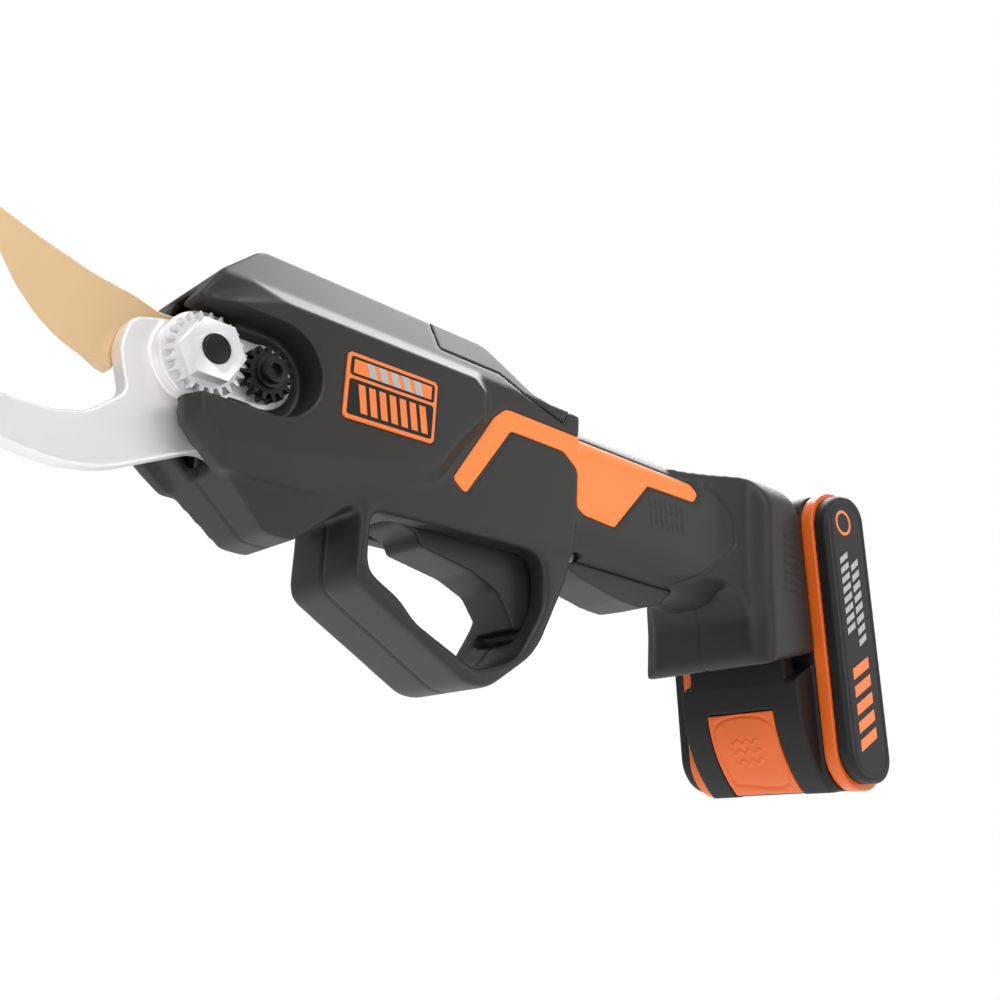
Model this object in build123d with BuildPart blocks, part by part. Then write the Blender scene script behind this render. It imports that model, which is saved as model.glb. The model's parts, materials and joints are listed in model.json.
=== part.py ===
from build123d import *
import os
from math import atan2, cos, pi, radians, sin, sqrt, tan

# A battery electric pruner, in millimetres.
# X runs along the handle towards the blades, Y is to the tool's left, Z is up.
# Everything is laid out from the foot's lower corner, and the pieces are shifted at the end
# so that the origin is the centre of the underside of the whole tool.
MIDDLE_X = 147.0
LOWEST_Z = 12.8

# Housing
SEAM_Y = -2.5
WALL = 3.0
AXIS_Z = 95.3
HEAD_HALF = 18.5
HEAD_TOP = 133.0
HEAD_TOP_HALF = 8.5
PANEL_FACE = 22.0
HANDLE_HALF = 18.5
HANDLE_LOW = 71.5
HANDLE_TOP = 118.0
HANDLE_ROUND = 15.0
FOOT_HALF = 29.0
FOOT_TOP = 121.0
FOOT_ROUND = 16.0
GUARD_HALF = 17.0

# Blade pivot
PIVOT_X = 244.3
BLADE_HALF = 2.0
HOOK_LOW = 2.1
HOOK_HIGH = 8.1
BOLT_R = 4.0
SWING = 46.0

# Adjuster gears
MODULE = 0.9
NUT_TEETH = 23
NUT_FLAT = 15.0
PINION_TEETH = 15
GEAR_GAP = MODULE * (NUT_TEETH + PINION_TEETH) / 2
PINION_X = PIVOT_X - GEAR_GAP

# Blade drive
CRANK = 16.0
CRANK_ANGLE = 148.0
LINK = 24.0
TAIL_X = PIVOT_X + CRANK * cos(radians(CRANK_ANGLE))
TAIL_Z = AXIS_Z + CRANK * sin(radians(CRANK_ANGLE))
NUT_PIN_X = TAIL_X - sqrt(LINK**2 - (TAIL_Z - AXIS_Z) ** 2)

# Battery, in its own leaning axes: its X points forward, its Z along the slide
LEAN = 7.7
BATTERY_HALF = 27.5
RING_HIGH = 32.5
PACK_HALF = 38.0
CELL_R = 9.2
CELLS = 5

lean_cos = cos(radians(LEAN))
lean_sin = sin(radians(LEAN))
BATTERY_SIDE = Plane(origin=(0, 0, 0), x_dir=(lean_cos, 0, -lean_sin), z_dir=(0, -1, 0))

pieces = {}


def keep(name, part):
    """Keeps a finished piece under its node's name, moved to the tool's own origin."""
    part = part.moved(Location((-MIDDLE_X, 0, -LOWEST_Z)))
    part.label = name
    pieces[name] = part


def side(y):
    """The side view's plane at a height y to the left, facing right."""
    return Plane.XZ.offset(-y)


def plate(points, radii, low, high, plane=Plane.XZ):
    """A flat plate with rounded corners, between two heights across the tool."""
    with BuildPart() as body:
        with BuildSketch(plane.offset(-high)):
            with BuildLine():
                FilletPolyline(*points, radius=radii, close=True)
            make_face()
        extrude(amount=high - low)
    return body.part


def disc(x, z, radius, low, high, hole=0.0, plane=Plane.XZ):
    """A round disc or ring whose axis runs across the tool."""
    with BuildPart() as body:
        with BuildSketch(plane.offset(-high)):
            with Locations((x, z)):
                Circle(radius)
                if hole:
                    Circle(hole, mode=Mode.SUBTRACT)
        extrude(amount=high - low)
    return body.part


def block(low, high):
    """A box between two corners."""
    size = [b - a for a, b in zip(low, high)]
    with BuildPart() as body:
        with BuildSketch(Plane.XY.offset(low[2])):
            with Locations(((low[0] + high[0]) / 2, (low[1] + high[1]) / 2)):
                Rectangle(size[0], size[1])
        extrude(amount=size[2])
    return body.part


def tube(x_low, x_high, radius, hole=0.0, y=0.0, z=AXIS_Z):
    """A round bar or tube along the tool."""
    with BuildPart() as body:
        with BuildSketch(Plane.YZ.offset(x_low)):
            with Locations((y, z)):
                Circle(radius)
                if hole:
                    Circle(hole, mode=Mode.SUBTRACT)
        extrude(amount=x_high - x_low)
    return body.part


# Outer forms of the housing, each drawn in by an inset for its hollow or its inlays

HEAD_SIDE = [
    (116, 72), (116, HANDLE_TOP), (128, HANDLE_TOP), (135, 119.5), (150, HEAD_TOP),
    (230, HEAD_TOP), (244.5, 119), (250.5, 109), (250.5, 98), (247.5, 76.5),
    (220, 54.2), (212, 54.2), (197, 66.5),
]
HEAD_SIDE_RADII = [0.5, 0.5, 4, 5, 8, 9, 8, 3, 8, 8, 5, 4, 3]
HEAD_SECTION = [
    (-HEAD_TOP_HALF, HEAD_TOP + 2), (HEAD_TOP_HALF, HEAD_TOP + 2), (HEAD_HALF, 117), (HEAD_HALF, 72),
    (14.5, 65), (11.5, 52), (-11.5, 52), (-14.5, 65), (-HEAD_HALF, 72), (-HEAD_HALF, 117),
]
HEAD_SECTION_RADII = [3, 3, 6, 4, 3, 1, 1, 3, 4, 6]
FOOT_SIDE = [
    (70, 76), (70, 114), (44, HANDLE_TOP), (27, FOOT_TOP - 0.6), (15.0, FOOT_TOP), (6.5, 59.8), (33.0, 51.4),
    (36.4, 54), (37.5, 68), (40, 80),
]
FOOT_SIDE_RADII = [0.5, 0.5, 4, 5, 4, 2, 3, 3, 6, 6]
FOOT_PLAN = [
    (72, -15), (72, 15), (49, 18.5), (36, 22), (32, FOOT_HALF), (0, FOOT_HALF),
    (0, -FOOT_HALF), (32, -FOOT_HALF), (36, -22), (49, -18.5),
]
FOOT_PLAN_RADII = [0.5, 0.5, 5, 3, 3, 0.5, 0.5, 3, 3, 5]


def head_form(inset):
    with BuildPart() as form:
        with BuildSketch(Plane.XZ):
            with BuildLine():
                FilletPolyline(*HEAD_SIDE, radius=HEAD_SIDE_RADII, close=True)
            make_face()
            if inset:
                offset(amount=-inset, kind=Kind.INTERSECTION)
        extrude(amount=30, both=True)
        with BuildSketch(Plane.YZ.offset(100)):
            with BuildLine():
                FilletPolyline(*HEAD_SECTION, radius=HEAD_SECTION_RADII, close=True)
            make_face()
            if inset:
                offset(amount=-inset, kind=Kind.INTERSECTION)
        extrude(amount=160, mode=Mode.INTERSECT)
    return form.part


def handle_form(inset):
    with BuildPart() as form:
        with BuildSketch(Plane.YZ.offset(42 + inset)):
            with Locations((0, (HANDLE_LOW + HANDLE_TOP) / 2)):
                RectangleRounded(
                    2 * (HANDLE_HALF - inset),
                    HANDLE_TOP - HANDLE_LOW - 2 * inset,
                    HANDLE_ROUND - inset,
                )
        extrude(amount=90)
    return form.part


def foot_form(inset):
    with BuildPart() as form:
        with BuildSketch(Plane.XZ):
            with BuildLine():
                FilletPolyline(*FOOT_SIDE, radius=FOOT_SIDE_RADII, close=True)
            make_face()
            if inset:
                offset(amount=-inset, kind=Kind.INTERSECTION)
        extrude(amount=40, both=True)
        with BuildSketch(Plane.XY.offset(30)):
            with BuildLine():
                FilletPolyline(*FOOT_PLAN, radius=FOOT_PLAN_RADII, close=True)
            make_face()
            if inset:
                offset(amount=-inset, kind=Kind.INTERSECTION)
        extrude(amount=110, mode=Mode.INTERSECT)
        with BuildSketch(Plane.YZ):
            with Locations((0, FOOT_TOP - 50)):
                RectangleRounded(2 * (FOOT_HALF - inset), 100 - 2 * inset, FOOT_ROUND - inset)
        extrude(amount=80, mode=Mode.INTERSECT)
    return form.part


def body_form(inset):
    """Head, handle and foot together."""
    with BuildPart() as form:
        add(head_form(inset))
        add(handle_form(inset))
        add(foot_form(inset))
    return form.part


# Housing: two half shells split at the seam, with a top cover, inlays and a badge on each side

PANEL_TOP = [
    (162.5, 114), (226.7, 113.6), (246, 106.8), (248.4, 98), (248.4, 84), (247, 77), (241, 72.2),
    (221.8, 73.6), (178.9, 81.4), (173, 84.2), (166.4, 94), (157.6, 104), (158.3, 111.3),
]
PANEL_ROOT = [
    (156, 119.8), (240, 119.8), (249.3, 109.5), (250.3, 98), (250.3, 84), (249, 75), (237, 66),
    (213, 66.5), (176, 74.5), (168.5, 78.8), (160.5, 91), (152.5, 103), (152, 113),
]
PANEL_ROOT_Y = 16.5
GUARD_OUTER = [
    (115.6, 93), (115.8, 66), (128, 39), (149, 23.3), (194.6, 46.9), (194.6, 78), (140, 80),
]
GUARD_OUTER_RADII = [3, 24, 26, 12, 6, 2, 2]
GUARD_INNER = [
    (127, 69.6), (126.4, 53), (136, 35.8), (151, 30.3), (173, 39.6), (179.5, 45.2), (190.4, 50.6), (190.8, 67.4),
]
GUARD_INNER_RADII = [6, 12, 10, 8, 4, 4, 5, 3]
COVER_SIDE = [
    (171.5, 140), (171.5, 122.4), (148, 122.4), (139, 117.2), (123, 113.2), (119, 120), (125, 140),
]
TRIM_SIDE = [
    (165.5, 83), (160.5, 79.5), (144.5, 103.8), (122.5, 103.8), (116, 99.5), (115.6, 87), (112, 85.4),
    (98.7, 84.8), (83.5, 102.9), (60.5, 103.4), (57.8, 107), (60.5, 110.3), (147, 110.3), (151.5, 106),
]
TRIM_SIDE_RADII = [1.4, 1.4, 2, 4, 4, 2, 2, 0.8, 0.8, 1.5, 1.5, 1.5, 4, 3]
BADGE_SIDE = [(176.5, 89), (207.5, 87.8), (207.5, 107), (176.5, 107.6)]
TRIGGER_BAY = [(119.6, 88), (119.6, 58.5), (123, 51), (126.5, 44), (132, 42), (142, 50), (181, 64), (181, 88)]
SCREWS = [(222, 61.5), (187, 76), (203, 123), (172.5, 119), (52, 108), (52, 82), (30, 110), (24.8, 60)]
BOSS_R = 3.6
SCREW_R = 1.5
SCREW_HEAD_R = 3.0
TRIM_DEPTH = 1.6
HOOK_BOSS = 12.0
TAIL_EAR = 4.8
RECESS_R = 13.0
RECESS_FLOOR = 11.0
TRIGGER_PIN = (173.0, 73.0)
LEVER_PIN = (109.0, 74.5)
PIN_R = 2.0
PIN_GAP = 0.06

outer_form = body_form(0)
inner_form = body_form(WALL)
inlay_form = body_form(TRIM_DEPTH)


def raised_panel(left):
    """The raised cheek on one side of the head, which slopes from its root to its flat face."""
    sign = 1 if left else -1
    with BuildPart() as cheek:
        for y, corners in ((PANEL_ROOT_Y, PANEL_ROOT), (PANEL_FACE, PANEL_TOP)):
            with BuildSketch(side(sign * y)):
                Polygon(*corners, align=None)
        loft(ruled=True)
        with BuildSketch(side(sign * PANEL_ROOT_Y)):
            Polygon(*PANEL_ROOT, align=None)
        extrude(amount=4 * sign)
    return cheek.part


def obround(x_low, x_high, radius, low, high):
    """A slot form along the tool at the pivot's height, round at its rear end."""
    with BuildPart() as body:
        with BuildSketch(side(high)):
            with Locations((x_low, AXIS_Z)):
                Circle(radius)
            with Locations(((x_low + x_high) / 2, AXIS_Z)):
                Rectangle(x_high - x_low, 2 * radius)
        extrude(amount=high - low)
    return body.part


guard_form = plate(GUARD_OUTER, GUARD_OUTER_RADII, -GUARD_HALF, GUARD_HALF)
guard_gap = plate(GUARD_INNER, GUARD_INNER_RADII, -GUARD_HALF - 5, GUARD_HALF + 5)
bay_block = plate(
    [(1.3, 52), (11, 48), (11, 113.5), (1.3, 113.5)], 0.4, -24, 24, BATTERY_SIDE
)
cover_prism = plate(COVER_SIDE, 0.3, -30, 30)
trim_prism = plate(TRIM_SIDE, TRIM_SIDE_RADII, -30, 30)

with BuildPart() as guard_loop:
    add(guard_form)
    add(guard_gap, mode=Mode.SUBTRACT)

# Walls and bosses inside the hollow
with BuildPart() as fittings:
    add(bay_block)
    add(obround(PINION_X, 252, RECESS_R + 2.4, HOOK_HIGH + 0.4, PANEL_FACE))
    add(disc(PIVOT_X, AXIS_Z, 11, -PANEL_FACE, -12.4))
    for x, z in SCREWS:
        add(disc(x, z, BOSS_R, -25, 25))
    for x, z in (TRIGGER_PIN, LEVER_PIN):
        add(disc(x, z, PIN_R + 2.2, -25, 25))
    add(block((100, -9.4, 60), (182, 9.4, 90)), mode=Mode.SUBTRACT)
    add(outer_form, mode=Mode.INTERSECT)

# Room for the blade's tail and the link over their swing
with BuildPart() as swing_room:
    add(disc(PIVOT_X, AXIS_Z, CRANK + TAIL_EAR + 0.6, -7, 2.6))
    add(block((200, -10, AXIS_Z), (247, 10, 130)), mode=Mode.INTERSECT)

with BuildPart() as trim_seat:
    add(trim_prism)
    add(inlay_form, mode=Mode.SUBTRACT)

with BuildPart() as housing:
    add(outer_form)
    add(guard_loop.part)
    add(raised_panel(True))
    add(raised_panel(False))
    add(inner_form, mode=Mode.SUBTRACT)
    add(fittings.part)
    # Blade slot, nut recess and bolt head recess
    add(block((236, SEAM_Y, 66), (262, HOOK_HIGH + 0.4, 115)), mode=Mode.SUBTRACT)
    add(obround(PINION_X, 262, RECESS_R, RECESS_FLOOR, 30), mode=Mode.SUBTRACT)
    add(block((235.5, HOOK_HIGH + 0.3, 82.3), (262, 30, 108.3)), mode=Mode.SUBTRACT)
    add(disc(PIVOT_X, AXIS_Z, HOOK_BOSS + 0.3, HOOK_HIGH, 30), mode=Mode.SUBTRACT)
    add(disc(PIVOT_X, AXIS_Z, 8.4, -30, -12.3), mode=Mode.SUBTRACT)
    add(block((236, -12.3, 83.8), (262, 0, 106.8)), mode=Mode.SUBTRACT)
    add(swing_room.part, mode=Mode.SUBTRACT)
    # Trigger and lever openings, then the battery bay with its undercut slot
    add(plate(TRIGGER_BAY, 1.5, -9, 9), mode=Mode.SUBTRACT)
    add(block((60.5, -9.6, 60), (114.5, 9.6, 78)), mode=Mode.SUBTRACT)
    for low_x, top_z, half in ((-6, 105, 17.0), (1.6, 111, 21.5)):
        bay = plate([(low_x, 30), (8.3, 30), (8.3, top_z), (low_x, top_z)], 0.2, -half, half, BATTERY_SIDE)
        add(bay, mode=Mode.SUBTRACT)
    # Seats for the top cover, the inlays and the badges
    add(cover_prism, mode=Mode.SUBTRACT)
    add(trim_seat.part, mode=Mode.SUBTRACT)
    for low, high in ((PANEL_FACE - 0.4, 30), (-30, 0.4 - PANEL_FACE)):
        add(plate(BADGE_SIDE, 1.5, low, high), mode=Mode.SUBTRACT)
    # Pin bores and screw holes
    for x, z in (TRIGGER_PIN, LEVER_PIN):
        add(disc(x, z, PIN_R, -12, 12), mode=Mode.SUBTRACT)
    for x, z in SCREWS:
        add(disc(x, z, SCREW_R, -20, 8), mode=Mode.SUBTRACT)
        add(disc(x, z, SCREW_HEAD_R + 0.2, -30, -10), mode=Mode.SUBTRACT)
    add(disc(PINION_X, AXIS_Z, SCREW_R, 0, 14), mode=Mode.SUBTRACT)

for name, half in (("left_shell", Keep.BOTTOM), ("right_shell", Keep.TOP)):
    with BuildPart() as shell:
        add(housing.part)
        split(bisect_by=side(SEAM_Y), keep=half)
    keep(name, shell.part)

with BuildPart() as screws:
    for x, z in SCREWS:
        add(disc(x, z, SCREW_R, -10, 7.5))
        add(disc(x, z, SCREW_HEAD_R, -12.6, -10))
        with BuildSketch(side(-12.6)):
            with Locations((x, z)):
                RegularPolygon(1.6, 6)
        extrude(amount=-1.6, mode=Mode.SUBTRACT)
keep("housing_screws", screws.part)

BUTTON_X = 157.0
LENS = ((164.5, -3.5, 130.2), (167.5, 3.5, HEAD_TOP + 0.15))
with BuildPart() as top_cover:
    add(cover_prism)
    add(outer_form, mode=Mode.INTERSECT)
    add(inner_form, mode=Mode.SUBTRACT)
    with BuildSketch(Plane.XY.offset(124.6)):
        with Locations((166, 5.5), (166, -5.5)):
            Circle(1.2)
    extrude(amount=6)
    with BuildSketch(Plane.XY.offset(120)):
        with Locations((BUTTON_X, 0)):
            Circle(5.1)
    extrude(amount=20, mode=Mode.SUBTRACT)
    add(block(*LENS), mode=Mode.SUBTRACT)
keep("top_cover", top_cover.part)
keep("status_lens", block(*LENS))

with BuildPart() as power_button:
    with BuildSketch(Plane.XY.offset(127)):
        with Locations((BUTTON_X, 0)):
            Circle(5.8)
    extrude(amount=1.8)
    with BuildSketch(Plane.XY.offset(127)):
        with Locations((BUTTON_X, 0)):
            Circle(5.0)
    extrude(amount=HEAD_TOP + 1.2 - 127)
    fillet(power_button.edges().sort_by(Axis.Z)[-1], 0.8)
keep("power_button", power_button.part)

with BuildPart() as button_board:
    add(block((151, -7, 123.4), (169, 7, 124.6)))
    add(block((154, -3, 124.6), (160, 3, 125.9)))
keep("button_board", button_board.part)

with BuildPart() as trims:
    add(trim_prism)
    add(outer_form, mode=Mode.INTERSECT)
    add(inlay_form, mode=Mode.SUBTRACT)
trim_solids = trims.part.solids().sort_by(Axis.Y)
keep("left_trim", Part() + trim_solids[-1])
keep("right_trim", Part() + trim_solids[0])
keep("left_badge", plate(BADGE_SIDE, 1.5, PANEL_FACE - 0.4, PANEL_FACE + 0.5))
keep("right_badge", plate(BADGE_SIDE, 1.5, -PANEL_FACE - 0.5, 0.4 - PANEL_FACE))

# Cutting head: hook, moving blade, pivot bolt and the adjuster on the left

HOOK_SIDE = [
    (227, 88), (212, 80), (212, 67), (226, 67), (238, 73), (252, 66.2), (263, 60.9), (274, 59.1),
    (288, 60.3), (301, 65), (311, 73), (317, 82), (319, 90.5), (315.5, 91), (308, 80.5), (299, 74),
    (289, 71.5), (278, 71.6), (270, 73.6), (261, 81.5), (264.8, 93), (263, 101.5), (254, 104), (238, 104.5),
    (226, 98),
]
HOOK_SIDE_RADII = [
    3, 3, 2, 6, 8, 30, 30, 30, 30, 30, 25, 20, 1.5, 1.5, 25, 25, 25, 12, 9, 4, 8, 5, 5, 5, 3,
]
BLADE_SIDE = [
    (244, 108.5), (253, 108.2), (260, 110.3), (270.8, 111.9), (285.6, 116), (297.1, 120), (307, 123.8),
    (302.4, 117), (295.1, 108.6), (290.2, 101.8), (284, 95.8), (278.4, 92), (272.8, 89.7), (263.4, 88.2),
    (261.5, 95), (244, 95),
]
BLADE_SIDE_RADII = [2, 5, 8, 40, 60, 60, 0.8, 40, 30, 25, 25, 20, 12, 0.8, 3, 1]
BLADE_HUB = 14.0
DRIVE_PIN_R = 2.5
LINK_LOW = -6.3
LINK_HIGH = -2.3
FRAME_LOW = -12.0
FRAME_HIGH = -8.2
HOOK_SCREWS = [(217.5, 74), (227, 74)]

with BuildPart() as hook_blade:
    add(plate(HOOK_SIDE, HOOK_SIDE_RADII, HOOK_LOW, HOOK_HIGH))
    add(disc(PIVOT_X, AXIS_Z, HOOK_BOSS, HOOK_HIGH, RECESS_FLOOR))
    add(disc(PIVOT_X, AXIS_Z, BOLT_R + 0.02, 0, 20), mode=Mode.SUBTRACT)
    for x, z in HOOK_SCREWS:
        add(disc(x, z, 2.5, 0, 20), mode=Mode.SUBTRACT)
keep("hook_blade", hook_blade.part)

with BuildPart() as moving_blade:
    add(plate(BLADE_SIDE, BLADE_SIDE_RADII, -BLADE_HALF, BLADE_HALF))
    add(disc(PIVOT_X, AXIS_Z, BLADE_HUB, -BLADE_HALF, BLADE_HALF))
    with BuildSketch(side(BLADE_HALF)):
        with BuildLine():
            Polyline((PIVOT_X - 3, AXIS_Z + 13), (TAIL_X + 1, TAIL_Z + 5.4), (TAIL_X - 4, TAIL_Z - 4),
                     (PIVOT_X - 8, AXIS_Z - 10), close=True)
        make_face()
        with Locations((TAIL_X, TAIL_Z)):
            Circle(TAIL_EAR)
    extrude(amount=2 * BLADE_HALF)
    add(disc(PIVOT_X, AXIS_Z, 6.05, -5, 5), mode=Mode.SUBTRACT)
    add(disc(TAIL_X, TAIL_Z, DRIVE_PIN_R, -5, 5), mode=Mode.SUBTRACT)
keep("moving_blade", moving_blade.part)

keep("pivot_bush", disc(PIVOT_X, AXIS_Z, 6.0, -2.1, 2.1, BOLT_R))
with BuildPart() as pivot_bolt:
    add(disc(PIVOT_X, AXIS_Z, BOLT_R, FRAME_LOW, 20))
    add(disc(PIVOT_X, AXIS_Z, 7.4, FRAME_LOW - 4.6, FRAME_LOW))
    with BuildSketch(side(FRAME_LOW - 4.6)):
        with Locations((PIVOT_X, AXIS_Z)):
            RegularPolygon(3.5, 6)
    extrude(amount=-3, mode=Mode.SUBTRACT)
    chamfer(pivot_bolt.edges().sort_by(Axis.Y)[-1], 0.5)
keep("pivot_bolt", pivot_bolt.part)


def gear_points(teeth, turn):
    """The corners of an involute gear's outline about its own axis."""
    pitch = MODULE * teeth / 2
    base = pitch * cos(radians(20))
    tip = pitch + 0.95 * MODULE
    root = pitch - 1.2 * MODULE
    half = pi / (2 * teeth) - 0.1 / pitch + tan(radians(20)) - radians(20)
    flank = []
    for step in range(5):
        radius = max(base, root) + (tip - max(base, root)) * step / 4
        roll = sqrt(max((radius / base) ** 2 - 1, 0))
        flank.append((radius, half - (roll - atan2(roll, 1))))
    flank.insert(0, (root, half))
    points = []
    for tooth in range(teeth):
        middle = turn + 2 * pi * tooth / teeth
        for radius, angle in flank:
            points.append((radius * cos(middle - angle), radius * sin(middle - angle)))
        for radius, angle in reversed(flank):
            points.append((radius * cos(middle + angle), radius * sin(middle + angle)))
    return points


def gear(teeth, turn, x, low, high):
    """A toothed disc whose axis runs across the tool."""
    with BuildPart() as body:
        with BuildSketch(side(high)):
            with Locations((x, AXIS_Z)):
                Polygon(*gear_points(teeth, turn), align=None)
        extrude(amount=high - low)
    return body.part


with BuildPart() as lock_plate:
    with BuildSketch(side(12.6)):
        with Locations((PIVOT_X, AXIS_Z)):
            Circle(12.1)
        with Locations((PINION_X, AXIS_Z)):
            Circle(9.0)
        with Locations(((PIVOT_X + PINION_X) / 2, AXIS_Z)):
            Rectangle(GEAR_GAP, 17.0)
    extrude(amount=12.6 - RECESS_FLOOR)
    add(disc(PIVOT_X, AXIS_Z, BOLT_R + 0.1, 5, 20), mode=Mode.SUBTRACT)
    add(disc(PINION_X, AXIS_Z, SCREW_R, 5, 20), mode=Mode.SUBTRACT)
keep("lock_plate", lock_plate.part)

with BuildPart() as adjuster_nut:
    add(gear(NUT_TEETH, pi, PIVOT_X, 12.7, 15.2))
    with BuildSketch(side(19.2)):
        with Locations((PIVOT_X, AXIS_Z)):
            RegularPolygon(NUT_FLAT / 2, 6, major_radius=False)
    extrude(amount=4)
    add(disc(PIVOT_X, AXIS_Z, BOLT_R + 0.05, 5, 25), mode=Mode.SUBTRACT)
keep("adjuster_nut", adjuster_nut.part)

with BuildPart() as lock_pinion:
    add(gear(PINION_TEETH, pi / PINION_TEETH, PINION_X, 12.7, 16.4))
    add(disc(PINION_X, AXIS_Z, 4.3, 16.4, 17.6))
    add(disc(PINION_X, AXIS_Z, SCREW_R + 0.05, 5, 25), mode=Mode.SUBTRACT)
keep("lock_pinion", lock_pinion.part)

with BuildPart() as pinion_screw:
    add(disc(PINION_X, AXIS_Z, SCREW_R, HOOK_HIGH + 0.5, 17.7))
    add(disc(PINION_X, AXIS_Z, 3.4, 17.7, 19.9))
    with BuildSketch(side(19.9)):
        with Locations((PINION_X, AXIS_Z)):
            RegularPolygon(1.9, 6)
    extrude(amount=1.6, mode=Mode.SUBTRACT)
keep("pinion_screw", pinion_screw.part)

# Drive: frame, motor, gearbox, screw, nut, link

with BuildPart() as head_frame:
    add(tube(146, 158, 14.8, 11))
    with BuildSketch(side(FRAME_HIGH)):
        with Locations((198, AXIS_Z)):
            Rectangle(92, 20)
        with Locations((PIVOT_X, AXIS_Z)):
            Circle(11)
        with Locations((223, 78)):
            Rectangle(19, 18)
    extrude(amount=FRAME_HIGH - FRAME_LOW)
    add(block((213.5, FRAME_HIGH, 68.5), (232, HOOK_LOW, 79.5)))
    add(disc(PIVOT_X, AXIS_Z, 9.8, FRAME_HIGH, -2.1))
    add(disc(PIVOT_X, AXIS_Z, BOLT_R, -20, 5), mode=Mode.SUBTRACT)
    for x, z in HOOK_SCREWS:
        add(disc(x, z, 2.5, -8, 5), mode=Mode.SUBTRACT)
    add(tube(145, 160, 11), mode=Mode.SUBTRACT)
keep("head_frame", head_frame.part)

MOTOR_R = 15.5
SHAFT_R = 2.5
BALL_SCREW_R = 5.0
SCREW_END = NUT_PIN_X - 9
with BuildPart() as hook_screws:
    for x, z in HOOK_SCREWS:
        add(disc(x, z, 2.5, -6, HOOK_HIGH))
        add(disc(x, z, 4.2, HOOK_HIGH, HOOK_HIGH + 2.4))
        with BuildSketch(side(HOOK_HIGH + 2.4)):
            with Locations((x, z)):
                RegularPolygon(2.0, 6)
        extrude(amount=1.6, mode=Mode.SUBTRACT)
keep("hook_screws", hook_screws.part)

with BuildPart() as motor_can:
    add(tube(60, 109, MOTOR_R, 13.6))
    add(tube(60, 62, 14, SHAFT_R + 0.05))
    add(tube(107, 109, 14, SHAFT_R + 0.05))
keep("motor_can", motor_can.part)
with BuildPart() as motor_stator:
    add(tube(66, 103, 13.6, 8.6))
    with BuildSketch(Plane.YZ.offset(66)):
        with Locations((0, AXIS_Z)):
            with PolarLocations(10, 9):
                Rectangle(5, 3.4)
    extrude(amount=37, mode=Mode.SUBTRACT)
keep("motor_stator", motor_stator.part)
with BuildPart() as motor_rotor:
    add(tube(67, 102, 8.2))
    add(tube(58, 124, SHAFT_R))
keep("motor_rotor", motor_rotor.part)
with BuildPart() as gearbox:
    add(tube(109, 144, 14.8))
    add(tube(105, 126, SHAFT_R + 0.05), mode=Mode.SUBTRACT)
    add(tube(130, 150, BALL_SCREW_R + 0.05), mode=Mode.SUBTRACT)
keep("gearbox", gearbox.part)
keep("screw_bearing", tube(147.5, 154.5, 11, BALL_SCREW_R + 0.05))
with BuildPart() as ball_screw:
    add(tube(131, SCREW_END, BALL_SCREW_R))
    chamfer(ball_screw.edges().filter_by(GeomType.CIRCLE), 0.8)
keep("ball_screw", ball_screw.part)
with BuildPart() as drive_nut:
    add(block((NUT_PIN_X - 36, -8, AXIS_Z - 11), (NUT_PIN_X - 7.6, 8, AXIS_Z + 11)))
    add(tube(NUT_PIN_X - 40, NUT_PIN_X - 7.6, BALL_SCREW_R + 0.06), mode=Mode.SUBTRACT)
    add(block((NUT_PIN_X - 7.6, -2, AXIS_Z - 5), (NUT_PIN_X, 2, AXIS_Z + 5)))
    add(disc(NUT_PIN_X, AXIS_Z, 5, -2, 2))
    add(disc(NUT_PIN_X, AXIS_Z, DRIVE_PIN_R, -4, 4), mode=Mode.SUBTRACT)
keep("drive_nut", drive_nut.part)
keep("nut_pin", disc(NUT_PIN_X, AXIS_Z, DRIVE_PIN_R, -7.4, 2))
keep("tail_pin", disc(TAIL_X, TAIL_Z, DRIVE_PIN_R, -7.4, 2))
with BuildPart() as drive_link:
    with BuildSketch(side(LINK_HIGH)):
        with BuildLine():
            lean = atan2(TAIL_Z - AXIS_Z, TAIL_X - NUT_PIN_X)
            across = (-3.6 * sin(lean), 3.6 * cos(lean))
            Polyline(
                (NUT_PIN_X + across[0], AXIS_Z + across[1]),
                (TAIL_X + across[0], TAIL_Z + across[1]),
                (TAIL_X - across[0], TAIL_Z - across[1]),
                (NUT_PIN_X - across[0], AXIS_Z - across[1]),
                close=True,
            )
        make_face()
        with Locations((TAIL_X, TAIL_Z)):
            Circle(4.8)
        with Locations((NUT_PIN_X, AXIS_Z)):
            Circle(6.2)
    extrude(amount=LINK_HIGH - LINK_LOW)
    add(disc(TAIL_X, TAIL_Z, DRIVE_PIN_R + 0.06, -9, 0), mode=Mode.SUBTRACT)
    add(disc(NUT_PIN_X, AXIS_Z, DRIVE_PIN_R + 1.15, -9, 0), mode=Mode.SUBTRACT)
keep("drive_link", drive_link.part)

# Controls

TRIGGER_SIDE = [
    (178.4, 76.4), (178.4, 69.5), (169.5, 67.6), (167.5, 64), (148, 61), (138, 57.2), (132.6, 50.5),
    (130.8, 46.8), (127.3, 46.8), (124.2, 54.5), (121.8, 59.5), (121.8, 65), (126, 71), (160, 75.4),
]
TRIGGER_SIDE_RADII = [3, 4, 1.2, 2, 10, 5, 5, 1.2, 1.2, 4, 3, 4, 4, 4]
LEVER_SIDE = [
    (113.4, 77.8), (113.9, 71.5), (103, 68.2), (86, 65), (77, 64.4), (66.3, 67.6), (61.8, 72),
    (61.8, 74.4), (100, 74.4), (105, 77.8),
]
LEVER_SIDE_RADII = [2.5, 2.5, 8, 10, 8, 5, 1.5, 1, 3, 3]
TRIGGER_HALF = 8.5
LEVER_HALF = 9.2
SPRING_R = 2.9
SPRING_WIRE = 0.5


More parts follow.
